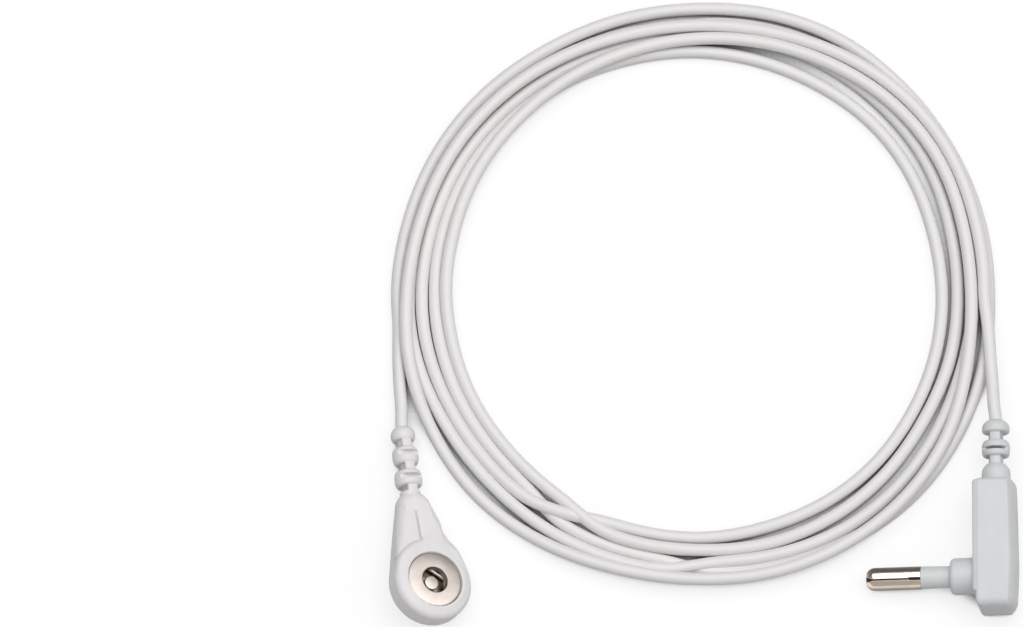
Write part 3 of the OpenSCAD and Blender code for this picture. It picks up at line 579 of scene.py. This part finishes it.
def addPlugRelief(plastic):
    def axis(s):
        return np.stack([0 * s, plug["length"] + s, 0 * s], -1)

    def across(s):
        return np.stack([1 + 0 * s, 0 * s, 0 * s], -1)

    grid, paintedShade = reliefGrid(plugRelief, axis, across)
    return piece("plugRelief", [shell(onTable(grid, plugFrame), ring=True)], plastic,
                 replaced=("plug_strain_relief",),
                 marks={"own": grid.reshape(-1, 3), "paintedShade": paintedShade})


# edge is the rounding around the disc and around the tail. The crease is (x at y = 0,
# slant, from, to), and the waist (depth, from, full, full to, to).
snapHead = {
    "discRadius": 7.1, "endRadius": 3.1, "length": 17.3, "bottom": -2.6, "bottomRise": 0.4,
    "underEdge": 1.4, "seatRadius": 4.6, "seat": 1.9, "well": -1.5, "recess": 5.06,
    "face": 2.6, "lip": 0.16, "faceSlope": 0.42, "tail": 2.12, "tailFall": 0.5, "step": 0.6,
    "softStep": 2.6, "edge": (0.75, 2.0), "crease": (-1.37, 0.06, 7.6, 13.1), "arc": 7.6,
    "waist": (0.52, 5.3, 8.0, 9.0, 12.0), "columns": 400, "rows": 100,
}


# Outline: two circles joined by straight sides and spaced evenly, with a slight waist on
# the right of the tail. Returns points and the distance of each one's tangent.
def snapOutline(columns):
    big, small = snapHead["discRadius"], snapHead["endRadius"]
    far = snapHead["length"] - small
    lean = math.asin((big - small) / far)
    disc = np.linspace(math.pi - lean, 2 * math.pi + lean, 900)
    tail = np.linspace(lean, math.pi - lean, 500)
    angle = np.concatenate([disc, tail])
    normal = np.stack([np.cos(angle), np.sin(angle)], -1)
    spot = np.vstack([big * normal[:len(disc)], small * normal[len(disc):] + [0, far]])
    spot, angle = np.vstack([spot, spot[:1]]), np.append(angle, angle[0] + 2 * math.pi)
    angle[len(disc):-1] += 2 * math.pi
    along = np.append(0, np.cumsum(np.linalg.norm(np.diff(spot, axis=0), axis=1)))
    even = np.arange(columns) * along[-1] / columns
    spot = np.stack([np.interp(even, along, spot[:, k]) for k in (0, 1)], -1)
    angle = np.interp(even, along, angle)
    depth, low, full, end, high = snapHead["waist"]
    y = spot[:, 1]
    spot[:, 0] -= depth * (spot[:, 0] > 0) * ease(low, full, y) * (1 - ease(end, high, y))
    return spot, spot[:, 0] * np.cos(angle) + spot[:, 1] * np.sin(angle)


# Two lines on the top, each a bell across itself that is 1 at its middle: a crease along
# the tail, x = a + b y, and the foot of the disc's left half, where it meets the tail.
def snapLines(x, y):
    start, slant, low, high = snapHead["crease"]
    crease = ease(low - 0.3, low + 0.2, y) * (1 - ease(high - 0.2, high + 0.3, y))
    crease = crease * np.exp(-((x - start - slant * y) / 0.15)**2)
    arc = (1 - ease(-2.2, -0.7, x)) * ease(2, 4, y)
    return crease, arc * np.exp(-((np.hypot(x, y) - snapHead["arc"]) / 0.14)**2)


# Height of the top: a disc that falls towards its lower rim and drops to the tail in a
# linear step, short on the left and long on the right. The tail falls towards its end.
def snapTop(x, y):
    r = np.hypot(x, y)
    soft = snapHead["softStep"] * ease(-2.0, 3.0, x)
    tail = snapHead["tail"] + 0.12 * ease(-1.2, 0.2, x) - snapHead["tailFall"] * ease(6.5, 16.8, y)
    face = snapHead["face"] - snapHead["faceSlope"] * np.clip(r - 5.5, 0, 2) * (1 - ease(0, 6, y))
    rim = np.clip((snapHead["arc"] + soft - r) / (snapHead["step"] + soft), 0, 1)
    crease, arc = snapLines(x, y)
    return tail + (face - tail) * rim - 0.35 * crease - 0.1 * arc


# Rows go from the middle of the well, up to the seat of the ring, over the top, round the
# edge, down the side and back to the middle below. Each is a size along the rays from the
# middle, and a height. An edge is a quarter circle: size falls by e (1 - sin), height by
# e (1 - cos).
def addSnapHousing(plastic):
    outline, reach = snapOutline(snapHead["columns"])
    far = np.linalg.norm(outline, axis=1)
    rays = outline / far[:, None]
    seatRadius, seat, well = snapHead["seatRadius"], snapHead["seat"], snapHead["well"]
    recess, lip, under = snapHead["recess"], snapHead["lip"], snapHead["underEdge"]
    atDisc, atTail = snapHead["edge"]
    edge = atDisc + (atTail - atDisc) * ease(3, 10, outline[:, 1])
    rows = []

    def row(size, height):
        flat = rays * np.broadcast_to(size, far.shape)[:, None]
        rows.append(np.column_stack([flat, np.broadcast_to(height, far.shape)]))

    def topRow(size, drop=0):
        flat = rays * size[:, None]
        rows.append(np.column_stack([flat, snapTop(*flat.T) - drop]))

    for size, height in ((0.6, well), (seatRadius - 0.4, well), (seatRadius, well + 0.2),
                         (seatRadius, seat - 0.1), (seatRadius + 0.06, seat), (recess - 0.05, seat),
                         (recess, seat + 0.06), (recess, snapHead["face"] - lip - 0.02)):
        row(size, height)
    for t in np.radians([0, 30, 60, 90]):
        row(recess + lip * (1 - math.cos(t)), snapHead["face"] - lip * (1 - math.sin(t)))
    start, stop = recess + lip, far * (1 - edge / reach)
    for t in np.linspace(0, 1, snapHead["rows"])[1:]:
        topRow(start + (stop - start) * t)
    for t in np.radians(np.linspace(0, 90, 20))[1:]:
        topRow(far * (1 - edge * (1 - math.sin(t)) / reach), edge * (1 - math.cos(t)))
    side = rows[-1][:, 2]
    base = snapHead["bottom"] + snapHead["bottomRise"] * ease(7, 16, outline[:, 1])
    for t in np.linspace(0, 1, 8)[1:]:
        row(far, side + (base + under - side) * t)
    for t in np.radians(np.linspace(0, 90, 12))[1:]:
        row(far * (1 - under * (1 - math.cos(t)) / reach), base + under * (1 - math.sin(t)))
    for part in (0.8, 0.4, 0.05):
        row(part * far * (1 - under / reach), base)
    grid = np.array(rows)
    own = np.vstack([grid.reshape(-1, 3), grid[0].mean(0), grid[-1].mean(0)])
    crease, arc = snapLines(own[:, 0], own[:, 1])
    # painted shade along the crease and the foot of the disc
    paintedShade = (0.45 * crease + 0.3 * arc) * (own[:, 2] > 0.5)  # on the top alone
    return piece("snapHousing", [shell(onTable(grid, headFrame))], plastic,
                 replaced=("snap_housing",), marks={"own": own, "paintedShade": paintedShade})


# One turned piece, in the snap head or on the pin. Its profile is closed when ring is set.
# "own" keeps its measure (around, around, along), and a second attribute its painted shade,
# which shape works out together with the final grid.
def turnedPiece(name, grid, finish, replaced, onPin=False, ring=False, shape=None):
    seam = np.zeros(grid.shape[:2])
    if shape:
        grid, seam = shape(grid)
    own, seam = grid.reshape(-1, 3), seam.ravel()
    if not ring:
        caps = [[0, 0, grid[0, 0, 2]], [0, 0, grid[-1, 0, 2]]]
        own, seam = np.vstack([own, caps]), np.append(seam, [0, 0])
    points = onTable(alongPin(grid), plugFrame) if onPin else onTable(grid, headFrame)
    return piece(name, [shell(points, ring)], finish, replaced=(replaced,),
                 marks={"own": own, "seam": seam})


socketRing = {"radius": 4.95, "bore": 2.3, "lip": 2.65, "lipBottom": 0.95, "seat": 1.96,
              "top": 2.3, "bend": 0.15, "crown": 0.1, "roll": 0.12, "rollDrop": 0.2,
              "chamfer": 0.08, "columns": 192}


# painted shade along the outer rim, more on one side, and around the hole
def ringPaintedShade(grid):
    x, y, radius = grid[..., 0], grid[..., 1], np.hypot(grid[..., 0], grid[..., 1])
    rim = ease(4.62, 4.85, radius) * (0.35 + 0.4 * ease(0.0, 0.6, (x + 0.15 * y) / radius))
    return grid, rim + 0.8 * (1 - ease(2.36, 2.5, radius))


# A flange whose height falls with the square of the way to its rim. It is rolled down
# there, by quarter ellipses, and turned in and down around the hole, by a quarter circle.
def addSocketRing(metal):
    s = socketRing
    bore, lip, bottom, seat, cut = s["bore"], s["lip"], s["lipBottom"], s["seat"], s["chamfer"]
    turn = np.radians(np.linspace(0, 90, 12))
    inner = np.stack([bore + s["bend"] * (1 - np.cos(turn)),
                      s["top"] - s["bend"] * (1 - np.sin(turn))], -1)
    flat = bore + s["bend"]
    r = np.linspace(flat, s["radius"] - s["roll"], 30)[1:]
    crown = np.stack([r, s["top"] - s["crown"] * ((r - flat) / (s["radius"] - flat))**2], -1)
    roll = np.stack([crown[-1, 0] + s["roll"] * np.sin(turn),
                     crown[-1, 1] - s["rollDrop"] * (1 - np.cos(turn))], -1)[1:]
    under = [[s["radius"], seat + 0.03], [s["radius"] - 0.03, seat], [lip + 0.05, seat],
             [lip, seat - 0.05], [lip, bottom + cut], [lip - cut, bottom],
             [bore + cut, bottom], [bore, bottom + cut]]
    grid = turned(np.vstack([inner, crown, roll, under]), s["columns"])
    return turnedPiece("socketRing", grid, metal, "socket_ring", ring=True,
                       shape=ringPaintedShade)


# [radius, height, rounding] of each corner
rivet = {
    "columns": 96,
    "corners": [(0.01, 0.87), (1.25, 0.83, 0.14), (1.25, -0.28, 0.03), (1.22, -0.3),
                (0.8, -0.3, 0.02), (0.8, -0.9, 0.02), (1.3, -0.9, 0.1), (1.3, -1.25, 0.1),
                (0.01, -1.25)],
}


def addSocketRivet(metal):
    grid = turned(rounded(rivet["corners"], 6), rivet["columns"])
    return turnedPiece("socketRivet", grid, metal, "socket_rivet")


# A corner is (width, height), and flatten makes the right ones less round. An end is
# (lower, upper). The pad is the left side's middle, which lies a little deeper.
plug = {
    "length": 23.0, "halfDepth": 4.4, "left": -3.3, "right": 3.6, "leftCorner": (0.6, 0.6),
    "rightCorner": (1.3, 3.3), "flatten": 1.45, "endRound": (1.5, 0.95), "pad": 0.5,
    "padSpan": (2.8, 22.7), "step": 0.13, "cornerColumns": 10, "sideColumns": 24,
    "bulge": [(0, -0.1), (3, 0.05), (7, 0.25), (12, 0.15), (18, 0.03), (23, -0.15)],
    "collar": [(1.95, 2.9), (3.5, 2.9, 0.05), (3.5, 3.55, 0.1), (3.2, 4.0, 0.35),
               (3.2, 8.0, 1.0), (1.95, 8.0, 0.12)],
}


# columns for the straight way from each corner to the next, after the corner's own
def fillSides(values):
    t = np.arange(1, plug["sideColumns"] + 1) / (plug["sideColumns"] + 1)
    corners = np.split(values, 4, axis=1)
    parts = []
    for here, following in zip(corners, corners[1:] + corners[:1]):
        a, b = here[:, -1:], following[:, :1]
        parts += [here, a + (b - a) * t]
    return np.hstack(parts)


# Sections of a block, one for each place along it. A corner is a quarter of the curve
# x = w cos(a)^p, z = h sin(a)^p. An inset draws a section in by the same amount on every
# side, by e (1 - sin), which rounds the two ends.
def addPlugHousing(plastic):
    p = plug
    turn = np.radians(np.linspace(0, 90, 11))
    low, high = p["endRound"]
    flat = np.array([0.9, 0.5, 0.1])  # insets of the rows on the flat ends, past the rounding
    middle = np.arange(low, p["length"] - high, p["step"])[1:]
    places = np.concatenate([0 * flat, low * (1 - np.cos(turn)), middle,
                             p["length"] - high * (1 - np.cos(turn[::-1])), 0 * flat + p["length"]])
    inset = np.concatenate([low + flat, low * (1 - np.sin(turn)), 0 * middle,
                            high * (1 - np.sin(turn[::-1])), high + flat[::-1]])[:, None]
    bulge = softened(np.interp(places, *np.array(p["bulge"]).T), 6)
    columns = p["cornerColumns"]
    angle = np.radians(np.concatenate([np.linspace(0, 90, columns) + 90 * k for k in range(4)]))
    signX, signZ = np.array([(1, 1), (-1, 1), (-1, -1), (1, -1)]).repeat(columns, 0).T
    power = np.where(signX > 0, p["flatten"], 1)
    roundX, roundZ = (np.sign(n) * np.abs(n)**power for n in (np.cos(angle), np.sin(angle)))
    wide, tall = np.where(signX[:, None] > 0, p["rightCorner"], p["leftCorner"]).T

    def drawnIn(corner, curve, way):
        left = corner - inset
        return np.maximum(left, 0.05) * curve + np.minimum(left - 0.05, 0) * way

    side = np.where(signX > 0, (p["right"] + bulge)[:, None] - wide, p["left"] + wide)
    x = side + drawnIn(wide, roundX, signX)
    z = signZ * (p["halfDepth"] - tall) + drawnIn(tall, roundZ, signZ)
    x = x - p["pad"] * between(*p["padSpan"], places, 0.14)[:, None] * ease(0.5, 0.95, -roundX)
    x, z = fillSides(x), fillSides(z)
    body = np.stack([x, np.repeat(places[:, None], x.shape[1], 1), z], -1)
    collar = alongPin(turned(rounded(p["collar"], 9), 128))
    shells = [shell(onTable(body, plugFrame)), shell(onTable(collar, plugFrame), ring=True)]
    own = np.vstack([body.reshape(-1, 3), body[0].mean(0), body[-1].mean(0), collar.reshape(-1, 3)])
    return piece("plugHousing", shells, plastic,
                 replaced=("plug_housing",), marks={"own": own})


# notch and flare are (length, width); the darkening away from the seam's side is painted shade
pin = {"radius": 2.0, "neck": 1.445, "shoulder": 13.1, "reach": 22.7, "tip": 1.6, "tipFlat": 0.6,
       "seamTurn": 108, "seamWidth": 0.24, "seamDepth": 0.3, "notch": (2.0, 0.5),
       "flare": (1.1, 1.2), "dullAndShade": 0.68, "step": 0.12, "columns": 384}


# The seam is a groove: the radius drops where the distance around from the seam's line is
# less than half the width, which is more in the notch by the sleeve and in the flare at the
# tip. Painted shade darkens the groove and the metal away from the seam's side.
def pinSeam(grid):
    h = grid[..., 2]
    radius = np.hypot(grid[..., 0], grid[..., 1])
    turn = np.arctan2(grid[..., 1], grid[..., 0]) - math.radians(pin["seamTurn"])
    around = np.abs((turn + math.pi) % (2 * math.pi) - math.pi) * radius
    notchLong, notchWide = pin["notch"]
    flareLong, flareWide = pin["flare"]
    toTip = np.clip((h - (pin["reach"] - flareLong)) / flareLong, 0, 1)
    half = (pin["seamWidth"] + (flareWide - pin["seamWidth"]) * toTip) / 2
    half = np.where(h < pin["shoulder"] + notchLong, notchWide / 2, half)
    bare = (h > pin["shoulder"] + 0.05) & (radius > 0.45)
    cut = (1 - ease(half - 0.03, half + 0.03, around)) * bare
    scale = 1 - pin["seamDepth"] * cut / np.maximum(radius, 0.5)
    aside = np.where(np.cos(turn) > 0, np.abs(np.sin(turn)), 1)
    # painted shade on the metal away from the seam's side
    dullAndShade = pin["dullAndShade"] * ease(0.6, 0.9, aside)
    return np.stack([grid[..., 0] * scale, grid[..., 1] * scale, h], -1), np.maximum(cut, dullAndShade)


# from the solder end inside the plug to the tip, which is a quarter ellipse
def addContactPin(metal):
    turn = np.radians(np.linspace(0, 90, 40))
    start = pin["reach"] - pin["tip"]
    tip = np.stack([pin["tipFlat"] + (pin["radius"] - pin["tipFlat"]) * np.cos(turn),
                    start + pin["tip"] * np.sin(turn)], -1)
    back = [(0.01, -0.05), (1.1, -0.05), (1.1, 0.25), (0.8, 0.25), (0.8, 0.55),
            (pin["neck"], 0.55), (pin["neck"], pin["shoulder"]),
            (pin["radius"] - 0.06, pin["shoulder"]), (pin["radius"], pin["shoulder"] + 0.06)]
    height = np.arange(pin["shoulder"] + 0.2, start, pin["step"])
    straight = np.column_stack([np.full(len(height), pin["radius"]), height])
    profile = np.vstack([back, straight, tip, [(0.3, pin["reach"]), (0.01, pin["reach"])]])
    return turnedPiece("contactPin", turned(profile, pin["columns"]), metal,
                       "contact_pin", onPin=True, shape=pinSeam)


# a slightly conical tube, as corners of [radius, height, rounding]
sleeve = {"columns": 128, "corners": [(1.475, 1.58), (1.875, 1.58, 0.04), (1.875, 8.0),
                                      (1.975, 13.1, 0.1), (1.475, 13.1, 0.04)]}


def addPinSleeve(plastic):
    grid = turned(rounded(sleeve["corners"], 6), sleeve["columns"])
    return turnedPiece("pinSleeve", grid, plastic, "pin_sleeve", onPin=True,
                       ring=True)


# solids that stay as they are and get a material: lists of their names, each with its look
def dressSolids(looks):
    for names, look in looks:
        for name in names:
            solid = frame["nodes"][name]
            solid.data.materials.clear()
            solid.data.materials.append(look)


# the sky goes from low over the far side, +Y, to near on the camera's side, and glow is a
# soft patch in it at glowAt, between the two angles of glowWide
# contact is the dark grey of the paper's painted shade close to the object
studio = {
    "floor": 2.4, "shadowReach": 3.5, "shadowEase": (0.15, 0.5), "ownLight": 0.75,
    "bounce": 0.4, "contact": 0.1, "lampSize": 1.7, "lampAt": (-0.1, 0.5, 1.5), "lampPower": 18.0,
    "skyEase": (0.9, -0.6), "low": 0.09, "near": 0.5, "skyTint": (1, 0.99, 0.975),
    "glow": 1.05, "glowAt": (0.563, 0.102, 0.82), "glowWide": (17, 39),
}


# White paper. What the camera and the metal see is nearly white and still takes the
# object's shadow; light that it throws back at the object is held down. Where ambient
# occlusion finds the object close, the paper turns dark grey: painted shade in slits and at
# the object's foot.
def addFloor():
    half = studio["floor"] / 2
    mesh = bpy.data.meshes.new("floor")
    corners = [(-half, -half, 0), (half, -half, 0), (half, half, 0), (-half, half, 0)]
    mesh.from_pydata(corners, [], [(0, 1, 2, 3)])
    floor = bpy.data.objects.new("floor", mesh)
    scene.collection.objects.link(floor)
    m = material("paper")
    at = m.node("TexCoord", output="Object")
    fibre = m.noise(at, 900.0, 2.0)
    seen = m.mix(fibre, (0.965, 0.965, 0.965), (0.98, 0.98, 0.98))
    camera, glossy, passing = (m.node("LightPath", output=f"Is {kind} Ray")
                               for kind in ("Camera", "Glossy", "Transmission"))
    paper = m.node("BsdfDiffuse", None, {"Color": seen})
    light = m.node("Emission", None, {"Color": (1, 1, 1, 1), "Strength": 1.0})
    reach = {"Distance": studio["shadowReach"] * mm}
    clear = m.smooth(*studio["shadowEase"], m.node("AmbientOcclusion", {"samples": 8}, reach, "AO"))
    bright = m.node("MixShader", None, {0: clear * studio["ownLight"] * camera, 1: paper, 2: light})
    dim = m.node("BsdfDiffuse", None, {"Color": (*[studio["bounce"]] * 3, 1)})
    # painted shade: dark paper where ambient occlusion finds the object close
    paintedShade = m.node("BsdfDiffuse", None, {"Color": (*[studio["contact"]] * 3, 1)})
    bright = m.node("MixShader", None, {0: clear, 1: paintedShade, 2: bright})
    surface = m.node("MixShader", None, {0: camera + glossy + passing, 1: dim, 2: bright})
    m.node("OutputMaterial", None, {"Surface": surface})
    mesh.materials.append(m.owner)


# one large soft lamp, and a room that only the camera sees as white
def addLight():
    lamp = bpy.data.objects.new("softbox", bpy.data.lights.new("softbox", "AREA"))
    lamp.data.size, lamp.data.energy = studio["lampSize"], studio["lampPower"]
    scene.collection.objects.link(lamp)
    lamp.location = studio["lampAt"]
    lamp.rotation_euler = Vector(studio["lampAt"]).to_track_quat("Z", "Y").to_euler()
    scene.world = bpy.data.worlds.new("room")
    m = Recipe(scene.world)
    towards = m.node("TexCoord", output="Generated")
    small, wide = (math.cos(math.radians(a)) for a in studio["glowWide"])
    towardsGlow = m.vectorMaths("DOT_PRODUCT", towards, tuple(unit(studio["glowAt"])))
    glow = m.smooth(wide, small, towardsGlow)
    back = m.node("SeparateXYZ", None, {0: towards}, "Y")
    sky = m.smooth(*studio["skyEase"], back, studio["low"], studio["near"])
    room = m.node("Background", None, {"Color": (*studio["skyTint"], 1),
                                       "Strength": sky + glow * studio["glow"]})
    white = m.node("Background", None, {"Color": (1, 1, 1, 1), "Strength": 1.0})
    seen = m.node("LightPath", output="Is Camera Ray")
    surface = m.node("MixShader", None, {0: seen, 1: room, 2: white})
    m.node("OutputWorld", None, {"Surface": surface})


tones = {
    "head": (0.738, 0.725, 0.732), "plug": (0.625, 0.645, 0.662), "mould": (0.53, 0.53, 0.51),
    "ring": (0.93, 0.84, 0.785), "pin": (0.80, 0.69, 0.605), "rivet": (0.9, 0.85, 0.77),
    "cup": (0.62, 0.52, 0.42), "spring": (0.95, 0.93, 0.88), "tin": (0.66, 0.66, 0.64),
    "tag": (0.72, 0.5, 0.2), "copper": (0.78, 0.36, 0.2),
}
resistorAt = {"head": (0, 6.4, -0.35), "plug": (0, 9.4, 0)}  # where each one starts, in mm

addCamera()
addFloor()
addLight()
print("camera, floor and light stand")
headPlastic = mouldedMaterial("snapPlastic", tones["head"], 0.5)
plugPlastic = mouldedMaterial("plugPlastic", tones["plug"], 0.48)
addSnapHousing(headPlastic)
addSnapRelief(headPlastic)
addSocketRing(nickelMaterial("ringNickel", True, tones["ring"], 0.2))
addSocketRivet(nickelMaterial("rivetNickel", True, tones["rivet"], 0.34))
print("snap head stands")
plugPieces = [addPlugHousing(plugPlastic), addPlugRelief(plugPlastic), addPinSleeve(plugPlastic),
              addContactPin(nickelMaterial("pinNickel", False, tones["pin"], 0.22))]
print("plug stands")
addCord(jacketMaterial())
headResistor = resistorMaterial("snapResistor", onTable(resistorAt["head"], headFrame),
                                headFrame[1][1])
plugResistor = resistorMaterial("plugResistor", onTable(resistorAt["plug"], plugFrame),
                                plugFrame[1][1])
dressSolids([
    (["socket_cup"], metalMaterial("cupNickel", tones["cup"], 0.24, (0.9, 0.9, 0.9), 0.75)),
    (["socket_spring_left", "socket_spring_right"],
     metalMaterial("springSteel", tones["spring"], 0.3, (0.8, 0.8, 0.8))),
    (["snap_inner_mould", "plug_inner_mould"],
     mouldedMaterial("innerPlastic", tones["mould"], 0.6, None)),
    (["snap_solder_tag", "pin_solder_tag"], metalMaterial("tagBrass", tones["tag"], 0.3)),
    (["snap_resistor"], headResistor),
    (["plug_resistor"], plugResistor),
    (["snap_conductor", "plug_conductor"], metalMaterial("copperStrands", tones["copper"], 0.35)),
    ([f"{end}_{part}" for end in ("snap", "plug")
      for part in ("resistor_caps", "resistor_leads", "crimp", "cord_clamp")],
     metalMaterial("tinPlate", tones["tin"], 0.34, (0.6, 0.6, 0.6), 0.8)),
])
print("inner pieces have their finishes")
